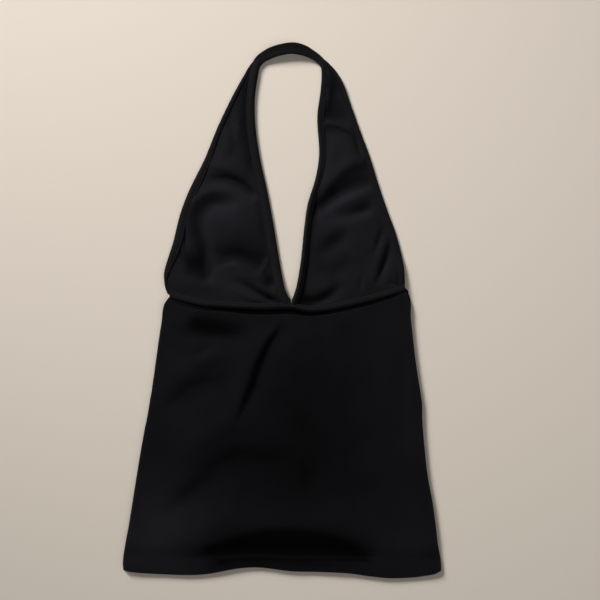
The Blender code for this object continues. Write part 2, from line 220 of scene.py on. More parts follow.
def knitGroup():
    # fine plain knit from flat cloth coordinates in metres: its relief, its lint and its uneven dye
    tree = bpy.data.node_groups.new("fine knit", "ShaderNodeTree")
    sockets = {"Flat": ("INPUT", "Vector"), "Wale": ("INPUT", "Float"), "Relief": ("OUTPUT", "Float"),
               "Lint": ("OUTPUT", "Float"), "Cloud": ("OUTPUT", "Float")}
    for name, (way, kind) in sockets.items():
        tree.interface.new_socket(name=name, in_out=way, socket_type="NodeSocket" + kind)
    start = tree.nodes.new("NodeGroupInput")
    flat, wale = start.outputs["Flat"], start.outputs["Wale"]
    split = addNode(tree, "SeparateXYZ", {0: flat})

    wander = addNode(tree, "TexNoise", {"Vector": flat, "Scale": 60.0, "Detail": 2.0})
    sway = mathNode(tree, "MULTIPLY", mathNode(tree, "SUBTRACT", wander.outputs[0], 0.5), 0.9)
    across = mathNode(tree, "ADD", mathNode(tree, "DIVIDE", split.outputs["X"], wale), sway)
    course = mathNode(tree, "MULTIPLY", wale, 0.8)
    along = mathNode(tree, "ADD", mathNode(tree, "DIVIDE", split.outputs["Y"], course), sway)
    offMiddle = mathNode(tree, "ABSOLUTE", mathNode(tree, "SUBTRACT", mathNode(tree, "FRACT", across), 0.5))
    ribs = mathNode(tree, "COSINE", mathNode(tree, "MULTIPLY", offMiddle, 2 * math.pi))
    loopPhase = mathNode(tree, "MULTIPLY", mathNode(tree, "ADD", along, offMiddle), 2 * math.pi)
    loops = mathNode(tree, "MULTIPLY", mathNode(tree, "SINE", loopPhase), 0.45)
    relief = mathNode(tree, "MULTIPLY", mathNode(tree, "ADD", ribs, loops), 0.5)

    specks = addNode(tree, "TexVoronoi", {"Vector": flat, "Scale": 190.0})
    pick = addNode(tree, "SeparateXYZ", {0: specks.outputs["Color"]})
    small = mathNode(tree, "LESS_THAN", specks.outputs["Distance"], 0.05)
    few = mathNode(tree, "GREATER_THAN", pick.outputs["X"], 0.86)
    cloud = addNode(tree, "TexNoise", {"Vector": flat, "Scale": 26.0, "Detail": 4.0})
    setInputs(tree, tree.nodes.new("NodeGroupOutput"),
              {"Relief": relief, "Lint": mathNode(tree, "MULTIPLY", small, few), "Cloud": cloud.outputs[0]})
    return tree


def clothMaterial(name, knit, look):
    material = bpy.data.materials.new(name)
    material.use_nodes = True
    tree = material.node_tree
    flat = addNode(tree, "UVMap", {}, uv_map="flat")
    weave = addNode(tree, "Group", {"Wale": look["wale"], "Flat": flat.outputs[0]}, node_tree=knit)
    dark, light = [(*[value * share for value in look["colour"]], 1.0) for share in (0.75, 1.25)]
    dye = addNode(tree, "Mix", {"A": dark, "B": light, "Factor": weave.outputs["Cloud"]}, data_type="RGBA")
    lint = addNode(tree, "Mix", {"A": dye.outputs["Result"], "B": (0.03, 0.03, 0.032, 1.0),
                                 "Factor": weave.outputs["Lint"]}, data_type="RGBA")
    # the base colour is scaled by the painted light and shade stored on the mesh
    paintedShading = mathNode(tree, "ADD", addNode(tree, "Attribute", {}, attribute_name="paintedShading").outputs["Fac"], 1.0)
    paintedShadingColour = addNode(tree, "VectorMath", {0: lint.outputs["Result"], "Scale": paintedShading}, operation="SCALE")
    uneven = mathNode(tree, "MULTIPLY", weave.outputs["Cloud"], 0.12)
    bump = addNode(tree, "Bump", {"Strength": look["relief"], "Distance": 0.0002,
                                  "Height": weave.outputs["Relief"]})
    setInputs(tree, tree.nodes["Principled BSDF"], {
        "Base Color": paintedShadingColour.outputs[0],
        "Roughness": mathNode(tree, "ADD", uneven, look["roughness"] - 0.06),
        "Specular IOR Level": look["shine"],
        "Sheen Weight": look["sheen"], "Sheen Roughness": 0.45, "Sheen Tint": (0.9, 0.92, 1.0, 1.0),
        "Normal": bump.outputs[0],
    })
    return material


def plainMaterial(name, look):
    material = bpy.data.materials.new(name)
    material.use_nodes = True
    setInputs(material.node_tree, material.node_tree.nodes["Principled BSDF"], {
        "Base Color": (*look["colour"], 1.0), "Roughness": look["roughness"],
        "Specular IOR Level": look["shine"],
    })
    return material


jerseyLook = {"colour": (0.0055, 0.0055, 0.0071), "roughness": 0.76, "shine": 0.03, "sheen": 0.006,
              "wale": 0.0008, "relief": 0.35}
bindingLook = {"colour": (0.0058, 0.0058, 0.0073), "roughness": 0.74, "shine": 0.05, "sheen": 0.008,
               "wale": 0.0007, "relief": 0.35}
threadLook = {"colour": (0.0042, 0.0043, 0.0056), "roughness": 0.6, "shine": 0.12}

knit = knitGroup()
jersey = clothMaterial("black jersey", knit, jerseyLook)
bindingJersey = clothMaterial("black binding", knit, bindingLook)
thread = plainMaterial("black thread", threadLook)
print("materials made")


# Cloth sheets

def clothSheet(name, x, y, z, flatX, flatY, wall, material, paintedShading=None):
    # a grid of points, rows by columns, made one wall thick; flatX and flatY are the cloth's own coordinates,
    # and the last argument is painted light and shade: how much lighter its colour is there, or darker below
    # zero
    rows, columns = x.shape
    first = (np.arange(rows - 1)[:, None] * columns + np.arange(columns - 1)).ravel()
    faces = np.stack([first, first + 1, first + 1 + columns, first + columns], axis=1)
    mesh = bpy.data.meshes.new(name)
    points = np.stack([x, y, z], axis=-1).reshape(-1, 3) * mm
    mesh.from_pydata(points.tolist(), [], faces.tolist())
    layer = mesh.uv_layers.new(name="flat")
    flat = np.stack([flatX, flatY], axis=-1).reshape(-1, 2) * mm
    layer.data.foreach_set("uv", flat[faces.ravel()].ravel())
    if paintedShading is not None:
        mesh.attributes.new("paintedShading", "FLOAT", "POINT").data.foreach_set("value", paintedShading.ravel())
    piece = bpy.data.objects.new(name, mesh)
    bpy.context.scene.collection.objects.link(piece)
    mesh.materials.append(material)
    bpy.ops.object.select_all(action="DESELECT")
    piece.select_set(True)
    bpy.context.view_layer.objects.active = piece
    solidify = piece.modifiers.new("wall", "SOLIDIFY")
    solidify.thickness = wall * mm
    solidify.offset = 0
    solidify.use_even_offset = False
    bpy.ops.object.modifier_apply(modifier=solidify.name)
    bpy.ops.object.shade_smooth_by_angle(angle=math.radians(50))
    return piece


def fineEnds(length, fine, coarse, border):
    # distances along a length, fine within a border at both ends and coarse between
    ends = np.arange(0, border, fine)
    middle = np.linspace(border, length - border, max(int((length - 2 * border) / coarse), 2))
    return np.concatenate([ends, middle, length - ends[::-1]])


# The body's front and back

backPanel = {"column": 2.6, "row": 2.6, "curl": 1.3, "hem": 15.0}
frontPanel = {"column": 1.9, "roll": 3.2, "rightRoll": 1.5, "hem": 17.0, "hemFold": 0.45, "hemHeight": 3.45}
bodySize = {"width": 300, "backLength": 280, "frontLength": 275}   # rounded, to space the rows and columns
# the join under the band along its run: where it ends, how deep it and its two lines are, and how dark the
# painted shade in it lies
bandJoin = {
    "x": [-118, -104, -80, -62, -40, 8, 30, 55, 95, 113, 126],
    "end": [5.6, 6.6, 6.4, 5.8, 7.2, 7.4, 6.0, 6.0, 6.4, 6.0, 5.0],
    "deep": [0.0, 0.25, 0.6, 1.0, 1.1, 1.1, 1.0, 0.45, 0.3, 0.2, 0.0],
    "lines": [0.0, 0.3, 0.6, 0.5, 0.5, 0.6, 0.6, 0.7, 0.7, 0.3, 0.0],
    "dark": [0.0, 0.3, 0.45, 0.6, 0.7, 0.65, 0.6, 0.4, 0.35, 0.3, 0.0],
}

frontCreases = [
    # from under the bust down to the left, with its ridge
    ([(4, -6, 0), (-6, -24, -1.6), (-17, -42, -2.2), (-24, -60, -2.4), (-29, -76, -2.4), (-37, -94, -1.9),
      (-42, -107, -0.7), (-45, -117, 0)], 14, 3.2),
    ([(-4, -8, 0), (-18, -30, 1.4), (-31, -56, 2.0), (-41, -86, 2.0), (-53, -116, 0.8),
      (-60, -132, 0)], 4.2, 13),
    # hollow under the left bust
    ([(-116, -20, 0), (-100, -23, -0.9), (-86, -26, -2.2), (-70, -28, -2.7), (-52, -27, -2.0),
      (-32, -20, 0)], 9, 13),
    ([(-104, -38, 0), (-92, -33, 1.2), (-80, -31, 0)], 7, 8),
    ([(-93, -50, 0), (-82, -42, -0.9), (-72, -34, 0)], 3.5, 4.5),
    # slanting waves on the left
    ([(-130, -92, 0), (-106, -68, 1.7), (-82, -53, 1.7), (-58, -44, 0)], 14, 9),
    ([(-132, -112, 0), (-106, -91, -1.5), (-84, -77, -1.4), (-46, -73, 0)], 7, 17),
    ([(-120, -160, 0), (-88, -138, 1.6), (-56, -122, 1.6), (-28, -116, 0)], 18, 12),
    ([(-110, -196, 0), (-82, -172, -1.5), (-50, -155, -2.2), (-14, -158, -1.7), (20, -156, 0)], 11, 22),
    ([(-132, -218, 0), (-106, -202, -1.3), (-82, -182, -1.0), (-60, -166, 0)], 8, 12),
    ([(-122, -192, 0), (-104, -182, 1.0), (-84, -168, 0)], 9, 7),
    ([(-122, -246, 0), (-96, -234, 1.3), (-66, -219, 1.3), (-40, -211, 0)], 13, 10),
    # belly above the hem
    ([(-106, -253, 0), (-64, -236, 2.8), (-34, -227, 4.2), (8, -223, 4.6), (44, -227, 4.2),
      (72, -239, 2.6), (112, -254, 0)], 26, 12),
    ([(-98, -258, 0), (-64, -257.5, -2.6), (8, -256.5, -3.4), (72, -258, -2.6), (110, -259, 0)], 15, 2.8),
    ([(-86, -273, 0), (-68, -267, -0.8), (-52, -259, 0)], 4, 4),
    # right of the middle
    ([(62, -30, 0), (92, -78, 1.4), (100, -140, 1.5), (88, -196, 0)], 22, 18),
    ([(20, -50, 0), (26, -100, -1.3), (30, -150, -1.1), (44, -190, 0)], 22, 26),
    ([(118, -22, 0), (126, -70, -0.8), (130, -140, 0)], 6, 8),
]


# painted light and shade on the front: patches lighter or darker, and lines of painted shade along creases
# and hollows
frontPaintedShading = [
    (0, -130, 400, 400, -0.1),
    (34, -105, 70, 72, -0.38),
    (0, -175, 72, 42, -0.36),
    (-112, -60, 34, 56, 0.1),
    (124, -110, 34, 100, 0.2),
    (-132, -236, 46, 50, 0.98),
    (-76, -249, 9, 7, -0.3),
    (134, -246, 46, 34, 0.3),
]
frontPaintedShadeLines = [
    ([(-91, -12, -0.85), (-78, -13, -0.85), (-62, -15, -0.7), (-46, -15, -0.35), (-36, -13, 0)], 8, 12),
    ([(-94, -256, -0.3), (-70, -250, -0.8), (-40, -243, -1.0), (8, -241, -1.1), (50, -244, -1.0),
      (76, -250, -0.7), (100, -257, 0)], 11, 9),
    ([(-70, -268, 0), (-48, -264, -0.4), (8, -263, -0.45), (62, -266, -0.3), (86, -268, 0)], 6, 7),
    ([(-82, -255, 0), (-64, -254, -0.6), (-40, -253.5, -0.85), (8, -253, -0.85), (50, -254, -0.8),
      (80, -257.5, -0.5), (98, -260, 0)], 5, 4.5),
    ([(-92, -260, 0), (-70, -260, -0.6), (8, -259.5, -0.75), (72, -260.5, -0.7), (104, -263, 0)], 2.2, 2.2),
    ([(-84, -274, 0), (-72, -268, -0.45), (-61, -262, -0.5), (-50, -257, 0)], 5, 5),
    ([(0, -11, -0.2), (-11, -30, -0.4), (-20, -46, -0.45), (-24, -56, 0)], 2.6, 3),
    ([(-18, -42, 0), (-26, -60, -0.38), (-30.5, -76, -0.38), (-38, -94, -0.3), (-44, -108, 0)], 4.5, 5.5),
    ([(-124, -204, 0), (-102, -190, -0.25), (-78, -166, -0.3), (-48, -150, -0.3), (0, -148, 0)], 12, 14),
    ([(9, -60, 0), (14, -66, -0.16), (18, -72, 0)], 7, 7),
    ([(4, -112, 0), (18, -115, -0.1), (34, -116, 0)], 10, 10),
    ([(20, -150, 0), (23, -172, -0.16), (28, -198, 0)], 5, 5),
    ([(38, -150, 0), (31, -166, -0.12), (28, -184, 0)], 5, 5),
    ([(46, -18, 0), (62, -16, -0.2), (76, -18, 0)], 6, 6),
    ([(-126, -103, 0), (-104, -87, -0.22), (-82, -73, -0.22), (-50, -70, 0)], 6, 13),
]


def bodyGrid(width, heights, rightName, topY):
    # x and y of a body panel over shares of its width and height
    x = np.zeros((len(heights), len(width)))
    for _ in range(6):
        y = hemY(x) + (topY(x) - hemY(x)) * heights[:, None]
        left = curveThrough(bodySides["y"], bodySides["left"], y)
        right = curveThrough(bodySides["y"], bodySides[rightName], y)
        x = left + (right - left) * width
    return x, y, np.minimum(x - left, right - x)


def turnedHem(x, y, z, up, fold, depth):
    # rows below the hem's edge: round the fold, and up behind; up is 1 where the turned part lies above
    angles = np.linspace(0.0, math.pi, 7)[::-1, None]
    leaf = np.linspace(fold, depth, 9)[::-1, None]
    leafY = y[:1] + leaf
    leafX, leafZ = 0 * leafY, 0 * leafY
    for index in range(x.shape[1]):
        leafX[:, index] = np.interp(leafY[:, index], y[:, index], x[:, index])
        leafZ[:, index] = np.interp(leafY[:, index], y[:, index], z[:, index]) + up * 2 * fold
    roundY = y[:1] + fold - fold * np.sin(angles)
    roundX = x[:1] + 0 * roundY
    roundZ = z[:1] + up * fold * (1 - np.cos(angles))
    rows = ((leafX, roundX, x[1:]), (leafY, roundY, y[1:]), (leafZ, roundZ, z[1:]))
    return [np.vstack(parts) for parts in rows]


def backMiddle(x, y, side):
    # the back lies flat, rises into its binding, and curls up at its side seams
    bound = ease((y - backTopY(x) + 24) / 12)
    shape = cloth["backHeight"] + (cloth["boundHeight"] - cloth["backHeight"]) * bound
    shape += (ripples(x, y, 60, 0.06, 3) * ease(side / 20) + 0.06) * (1 - bound)
    near = np.clip(1 - side / backPanel["curl"], 0, 1)
    return shape + 0.75 * (1 - np.sqrt(1 - near ** 2)) * (1 - bound)


def frontMiddle(x, y, side):
    # the front lies clear of the back, climbs to the underbust seam and rolls down to the side seams
    toSeam = seamY(x) - y
    toHem = y - hemY(x)
    body = cloth["frontHeight"] + (frontPanel["hemHeight"] - cloth["frontHeight"]) * ease((32 - toHem) / 18)
    shown = ease((side - 2) / 9) * ease((toSeam - 4.5) / 4.5) * (0.25 + 0.75 * ease((toHem - 9) / 9))
    folds = creaseHeight(frontCreases, x, y) + ripples(x, y, 46, 0.16, 5) + ripples(x, y, 17, 0.05, 6)
    low = softFloor(body + shown * folds, 1.55)
    low += ease((20 - toHem) / 14) * (0.2 + ripples(x, 0 * y, 60, 0.3, 8))
    climb = ease((30 - toSeam) / 18)
    middle = low + (cloth["seamHeight"] - low) * climb
    # the rolled join under the band
    end, deep, lines = [curveThrough(bandJoin["x"], bandJoin[name], x) for name in ("end", "deep", "lines")]
    join = np.maximum(deep, 0) * ease((toSeam - 0.4) / 0.8) * ease((end - toSeam) / 1.5)
    join += np.maximum(lines, 0) * (np.exp(-((toSeam - 1.3) / 0.6) ** 2)
                                    + np.exp(-((toSeam - end + 1.5) / 0.6) ** 2))
    middle -= join * (0.9 + 0.1 * np.sin(x / 9.0))
    # twin rows of hem stitching pull the cloth in
    for row in hemStitching["rows"]:
        middle -= hemStitching["pull"] * np.exp(-((y - hemStitchY(x) - row) / 0.6) ** 2)
    near = np.clip(1 - side / np.where(x > 0, frontPanel["rightRoll"], frontPanel["roll"]), 0, 1)
    bound = ease((y - backTopY(x) + 26) / 12)
    seam = 1.9 + 2.4 * bound
    return middle - (middle - seam) * (1 - np.sqrt(1 - near ** 2))


def makeBack():
    width = fineEnds(bodySize["width"], 0.45, backPanel["column"], 3) / bodySize["width"]
    rows = fineEnds(bodySize["backLength"], 1.0, backPanel["row"], 18) / bodySize["backLength"]
    x, y, side = bodyGrid(width, rows, "backRight", lambda at: backTopY(at) - 2.0)
    z = backMiddle(x, y, side)
    x, y, z = turnedHem(x, y, z, 1, frontPanel["hemFold"], backPanel["hem"])
    return clothSheet("backPanel", x, y, z, x, y, cloth["wall"], jersey)


def makeFront():
    width = fineEnds(bodySize["width"], 0.5, frontPanel["column"], 6) / bodySize["width"]
    height = bodySize["frontLength"]
    rows = np.concatenate([np.arange(0, 20, 0.8), np.linspace(20, height - 8, 140),
                           np.arange(height - 7.7, height + 0.01, 0.32)])
    x, y, side = bodyGrid(width, rows / rows[-1], "frontRight", lambda at: seamY(at) - 0.1)
    z = frontMiddle(x, y, side)
    x, y, z = turnedHem(x, y, z, -1, frontPanel["hemFold"], frontPanel["hem"])
    # painted light and shade on the front: the listed patches and lines, painted shade in the join under the
    # band, and painted light along the rolled right edge
    paintedShading = paintedShadingOf(frontPaintedShading, frontPaintedShadeLines, x, y)
    end, dark = [curveThrough(bandJoin["x"], bandJoin[name], x) for name in ("end", "dark")]
    paintedShading -= np.maximum(dark, 0) * ease((end + 0.2 - seamY(x) + y) / 1.2)
    paintedShading += 0.5 * np.exp(-((curveThrough(bodySides["y"], bodySides["frontRight"], y) - x) / 2.2) ** 2)
    return clothSheet("frontPanel", x, y, z, x, y, cloth["wall"], jersey, np.maximum(paintedShading, -0.85))


back = makeBack()
front = makeFront()
print("body made")


# The bust panels

leftSections = {
    "armX": [-118.3, -122.8, -123.9, -114.7, -107.7, -98.2, -81.7, -68.0, -53.4, -41.0, -34.0, -29.3],
    "armY": [14.1, 26.5, 42.0, 73.0, 101.0, 126.2, 159.8, 193.4, 224.0, 246.5, 257.0, 262.8],
    "neckX": [8.8, 8.0, 2.0, -4.3, -9.9, -16.4, -23.6, -28.4, -29.0, -26.0, -23.4, -20.2],
    "neckY": [0.6, 10.4, 25.4, 59.0, 92.6, 127.0, 160.0, 193.4, 222.0, 245.0, 256.6, 260.0],
}
rightSections = {
    "armX": [128.0, 128.2, 126.6, 119.5, 108.5, 100.0, 91.5, 82.9, 71.8, 64.4, 56.8, 49.4, 42.6],
    "armY": [20.0, 33.0, 50.6, 79.0, 109.4, 134.6, 162.0, 185.0, 216.0, 237.0, 250.4, 258.0, 264.0],
    "neckX": [9.2, 9.7, 14.5, 19.1, 22.4, 26.4, 34.8, 38.4, 36.5, 39.8, 41.0, 39.9, 36.0],
    "neckY": [0.6, 10.4, 25.4, 52.0, 84.2, 112.0, 140.0, 166.0, 202.0, 230.0, 247.0, 256.8, 261.0],
}
bustPanels = {
    "left": {"sections": leftSections, "turn": -1, "columns": 84, "row": 1.5, "floor": 0.55,
             "overBack": 3.6},
    "right": {"sections": rightSections, "turn": 1, "columns": 80, "row": 1.5, "floor": 0.55,
              "overBack": 3.6},
}
edgeInset = 1.9

armBindings = {
    "left": {"ends": (0.25, 10.8), "spacing": 1.5,
             "y": [14, 24, 30, 40, 50, 70, 100, 130, 150, 175, 200, 230, 245, 257, 263],
             "width": [2.2, 2.2, 2.8, 5.0, 6.8, 8.8, 8.6, 8.6, 7.4, 5.2, 4.6, 4.0, 3.2, 2.4, 2.0],
             "offset": [0.5, 0.55, 0.9, 1.2, 1.3, 1.3, 1.3, 1.3, 1.3, 1.25, 1.2, 1.1, 0.85, 0.55, 0.4],
             "lift": [-0.7, -0.6, -0.2] + [0] * 9 + [-0.1, -0.3, -0.4],
             "gap": [0.4, 0.5, 1.2] + [1.9] * 9 + [1.6, 1.2, 1.0]},
    "right": {"ends": (0.25, 11.8), "spacing": 1.5,
              "y": [20, 30, 50, 80, 110, 135, 162, 185, 216, 237, 250, 258, 264],
              "width": [6.6, 6.0, 4.4, 3.8, 3.6, 3.6, 3.6, 3.6, 3.4, 3.0, 2.6, 2.2, 2.0],
              "offset": [1.2, 1.25, 1.2, 1.15, 1.15, 1.15, 1.15, 1.15, 1.1, 1.0, 0.8, 0.5, 0.4],
              "lift": [0] * 10 + [-0.1, -0.3, -0.4],
              "gap": [1.9] * 10 + [1.6, 1.2, 1.0]},
}

leftPuffs = [(-50, 92, 32, 30, 6.0), (-52, 168, 22, 24, 1.8), (-90, 58, 16, 26, 2.2)]
leftCreases = [
    # above the dome
    ([(-80, 137, 0), (-67, 138, -2.2), (-54, 136, -3.2), (-43, 130.5, -3.6), (-34, 124, -3.3),
      (-27, 116, 0)], 4.6, 7.5),
    ([(-84, 152, 0), (-64, 151, 1.8), (-48, 146, 1.8), (-36, 136, 0)], 10, 6),
    ([(-92, 125, 0), (-78, 127, 1.2), (-60, 124.5, 1.2), (-46, 118, 0)], 6, 6),
    # round the dome's left side
    ([(-60, 124, 0), (-78, 123, 1.2), (-92, 115, 1.8), (-98, 103, 1.0), (-99, 88, 1.2),
      (-98, 74, 0)], 6, 5),
    ([(-46, 109, 0), (-58, 111, -2.4), (-71, 110.5, -2.8), (-79, 105, -3.1), (-83, 96, -3.2),
      (-83, 84, -3.2), (-81, 70, -3.5), (-78.5, 56, -4.4), (-78, 46, -4.4), (-80, 38, -4.0),
      (-84, 31, 0)], 7, 9),
    ([(-101.5, 92, 0), (-102, 73, -2.0), (-99, 54, 0)], 2, 2),
    ([(-112, 66, 0), (-102, 54, -2.0), (-92, 44, -2.2), (-84, 37, 0)], 10, 5),
    ([(-112, 33, 0), (-96, 30, 0.9), (-80, 26, 1.2), (-60, 22, 0)], 4.5, 8),
    # under the dome
    ([(-72, 45, 0), (-61, 51, -2.6), (-49, 54, -3.4), (-36, 49, -3.4), (-25, 42, -2.4),
      (-16, 38, 0)], 12, 4),
    ([(-54, 50, 0), (-46, 45, 1.0), (-38, 37, 1.8), (-28, 28, 0)], 4, 7),
    ([(-20, 66, 0), (-14, 56, 1.5), (-20, 44, 1.6), (-27, 36, 0)], 3.6, 3.6),
    ([(-24, 38, 0), (-14, 29, -3.0), (-6, 22, 0)], 6, 5.5),
    ([(-54, 33, 0), (-41, 27, -1.8), (-25, 17.5, -2.8), (-12, 10.5, -3.4), (-3, 7.5, 0)], 5, 2.6),
    ([(-62, 24, 0), (-42, 17, 1.0), (-24, 9, 0.9), (-14, 7, 0)], 4, 4),
    # beside the neck binding
    ([(-32, 248, 0), (-36, 216, -2.4), (-34, 182, -2.4), (-27, 150, 0)], 4, 6),
    ([(-64, 200, 0), (-57, 180, 1.2), (-58, 160, 0)], 5, 5),
    ([(-53, 214, 0), (-47, 192, 1.2), (-48, 172, 0)], 4, 3.5),
]
rightPuffs = [(68, 80, 36, 42, 4.6), (62, 166, 26, 20, 3.2)]
rightCreases = [
    # near the strap
    ([(49, 254, 0), (50, 238, 1.2), (47, 218, 1.1), (43, 202, 0)], 4, 6.5),
    ([(34, 262, 0), (50, 250, 1.8), (60, 236, 1.4), (66, 222, 0)], 3, 5),
    ([(46, 248, 0), (54, 233, -1.8), (60, 220, 0)], 5, 6),
    ([(38, 222, 0), (50, 206, -1.8), (60, 199, -1.8), (70, 192, 0)], 11, 5),
    ([(42, 196, 0), (51, 196, 2.2), (62, 193, 2.7), (70, 188, 2.0), (80, 180, 0)], 4, 2.6),
    ([(40, 189, 0), (52, 187, -0.8), (64, 181, 0)], 3, 5),
    ([(77, 184, 0), (80.5, 172, -2.0), (84, 158, 0)], 2.5, 3),
    # the deep wedge, and the ridge under it
    ([(32, 112, 0), (44, 128, 1.8), (58, 143, 2.4), (72, 153, 2.6), (84, 155, 2.0), (96, 153, 0)], 9, 6),
    ([(33, 97, 0), (43, 107, -3.0), (54, 115.5, -3.8), (67, 123, -3.6), (82, 129, -2.8),
      (96, 132, 0)], 9, 6),
    ([(38, 100, 0), (52, 110, 0.8), (68, 118, 1.4), (84, 123, 1.4), (100, 127, 0)], 5.5, 6),
    ([(44, 98, 0), (60, 99, -1.6), (74, 101, -2.8), (86, 105, -3.2), (98, 112, 0)], 7.5, 6),
    ([(37, 106, 0), (42, 101, 1.2), (48, 97, 0)], 1.8, 1.8),
    # slanting waves
    ([(32, 54, 0), (44, 63, -2.0), (58, 73, -2.4), (72, 87, 0)], 8, 9),
    ([(48, 22, 0), (58, 40, -1.2), (72, 60, 0)], 8, 8),
    ([(28, 6, 0), (40, 10, -2.6), (52, 18, -2.6), (64, 30, 0)], 6, 5),
    ([(82, 40, 0), (82.5, 29, -1.4), (82, 19, 0)], 2.6, 2.6),
    ([(98, 26, 0), (104, 42, -2.4), (110, 58, -2.2), (115, 76, 0)], 2.4, 4.2),
    ([(90, 24, 0), (97, 42, 0.9), (103, 60, 1.1), (110, 80, 0)], 6, 3),
    ([(96, 56, 0), (101, 73, -1.9), (107, 92, 0)], 3, 4),
    ([(108, 29, 0), (116, 28, -1.2), (123, 24, 0)], 1.6, 1.6),
]
# painted light on the bust domes, and painted shade in patches and along the creases
bustPaintedShading = {
    "left": [(-60, 110, 80, 120, 0.64), (-60, 20, 60, 14, 0.1), (-15, 31, 6, 7, -0.9),
             (-34.5, 157, 6, 12, -0.65), (-92, 52, 9, 17, -0.42), (-20, 61, 8, 7, -0.5)],
    "right": [(70, 110, 80, 120, 0.7), (55, 206, 14, 12, -0.4), (53, 230, 6.5, 15, -0.45),
              (46, 211, 8, 11, -0.35), (54, 72, 15, 11, -0.24), (42, 51, 14, 14, -0.25),
              (21, 13, 8, 6, -0.9)],
}
bustPaintedShadeLines = {
    "left": [([(-36, 246, 0), (-40, 214, -0.5), (-38, 186, -0.5), (-34, 164, 0)], 3.5, 3),
             ([(-50, 115, 0), (-66, 117, -0.45), (-80, 114, -0.55), (-92, 104, -0.65), (-93, 91, -0.7),
               (-87, 74, -0.7), (-84, 62, -0.75), (-84, 50, -0.85), (-84, 38, -0.85)], 6, 8),
             ([(-101, 68, 0), (-99, 54, -0.7), (-98, 42, -0.6), (-97, 34, 0)], 7, 5),
             ([(-66, 62, -0.35), (-52, 62, -0.7), (-38, 58, -0.85), (-26, 51, -0.75),
               (-18, 45, 0)], 9, 6.5),
             ([(-74, 140, -0.2), (-56, 140.5, -0.6), (-42, 134, -0.8), (-33, 126.5, -0.6),
               (-28, 121, 0)], 4, 4.5),
             ([(-50, 32, 0), (-34, 25, -0.6), (-22, 18, -0.9), (-12, 12.5, -1.1), (-4, 9, -0.7)], 3.8, 2.8)],
    "right": [([(40, 114, -0.8), (52, 124, -1.05), (66, 135, -0.9), (80, 141, -0.75),
                (88, 142, -0.4)], 8, 7),
              ([(41, 122, 0), (34, 102, -0.7), (30, 76, -0.6), (26, 50, -0.55), (22, 26, -0.8),
                (18, 10, -0.9)], 4.5, 4.5),
              ([(52, 103, 0), (72, 105, -0.5), (88, 110, -0.6), (93, 112, 0)], 5.5, 5),
              ([(38, 68, 0), (50, 73, -0.5), (60, 80, -0.5), (70, 88, 0)], 8, 8),
              ([(60, 34, 0), (66, 50, -0.25), (72, 62, 0)], 9, 9),
              ([(28, 11, -0.6), (44, 16, -0.95), (58, 26, -0.4), (66, 34, 0)], 5.5, 6),
              ([(119, 46, 0), (119.5, 37, -0.5), (120, 28, -0.6)], 1.6, 1.6),
              ([(99, 32, 0), (105, 47, -0.4), (113, 70, 0)], 3, 3)],
}
bustFolds = {"left": (leftPuffs, leftCreases), "right": (rightPuffs, rightCreases)}


def edgeHeight(x, y):
    # the middle of a bound edge: low on the floor, and up on the back's binding at the seam
    settled = ease((y - seamY(x) - 8) / 36)
    return cloth["seamHeight"] - 0.1 + (cloth["boundHeight"] - cloth["seamHeight"] + 0.1) * settled


def edgeInward(sections, side, turn, place):
    # an edge's points and its way in to the panel
    x, y, runX, runY = tableLine(sections, side + "X", side + "Y", place)
    return x, y, -turn * runY, turn * runX


def makeBust(side):
    panel = bustPanels[side]
    sections = panel["sections"]
    last = len(sections["armX"]) - 1
    armX, armY, inX, inY = edgeInward(sections, "arm", panel["turn"], np.linspace(0, last, 400))
    travel = travelled(armX, armY)
    lengths = np.concatenate([np.arange(0, 12, 0.6), np.arange(12, travel[-1], panel["row"]), travel[-1:]])
    place = np.interp(lengths, travel, np.linspace(0, last, 400))
    arm = edgeInward(sections, "arm", panel["turn"], place)
    neck = edgeInward(sections, "neck", -panel["turn"], place)
    armGap = curveThrough(armBindings[side]["y"], armBindings[side]["gap"], arm[1])
    armPoint = [arm[axis] + armGap * arm[axis + 2] for axis in (0, 1)]
    neckPoint = [neck[axis] + edgeInset * neck[axis + 2] for axis in (0, 1)]
    leftPoint, rightPoint = (armPoint, neckPoint) if side == "left" else (neckPoint, armPoint)
    across = np.linspace(0, 1, panel["columns"])
    x = leftPoint[0][:, None] * (1 - across) + rightPoint[0][:, None] * across
    y = leftPoint[1][:, None] * (1 - across) + rightPoint[1][:, None] * across
    width = np.hypot(rightPoint[0] - leftPoint[0], rightPoint[1] - leftPoint[1])[:, None]
    down = seamY(x[0]) + 0.3 - y[0]
    ends = down[0] * (1 - across) + down[-1] * across
    y = y + ends * np.clip(1 - place / 0.6, 0, 1)[:, None] ** 2
    y = y + (down - ends) * np.clip(1 - place / 3, 0, 1)[:, None] ** 2

    border = width * np.minimum(across, 1 - across)
    puffs, creases = bustFolds[side]
    shown = ease((border - 1.5) / 6) * ease((y - seamY(x) - 4) / 6)
    swell = puffHeight(puffs, x, y) * ease((border - 2) / 14) * ease((y - seamY(x) - 4) / 16)
    swell += shown * (creaseHeight(creases, x, y) + ripples(x, y, 30, 0.14, 11) + ripples(x, y, 12, 0.05, 12))
    lowest = panel["floor"] + panel["overBack"] * ease((backTopY(x) + 6 - y) / 5)
    z = softFloor(edgeHeight(x, y) + swell, lowest, 0.25)
    # painted light and shade on the panel
    paintedShading = paintedShadingOf(bustPaintedShading[side], bustPaintedShadeLines[side], x, y)
    return clothSheet("bust" + side.capitalize(), x, y, z, x, y, cloth["wall"], jersey, paintedShading)


bustLeft = makeBust("left")
bustRight = makeBust("right")
print("bust panels made")


# Bindings

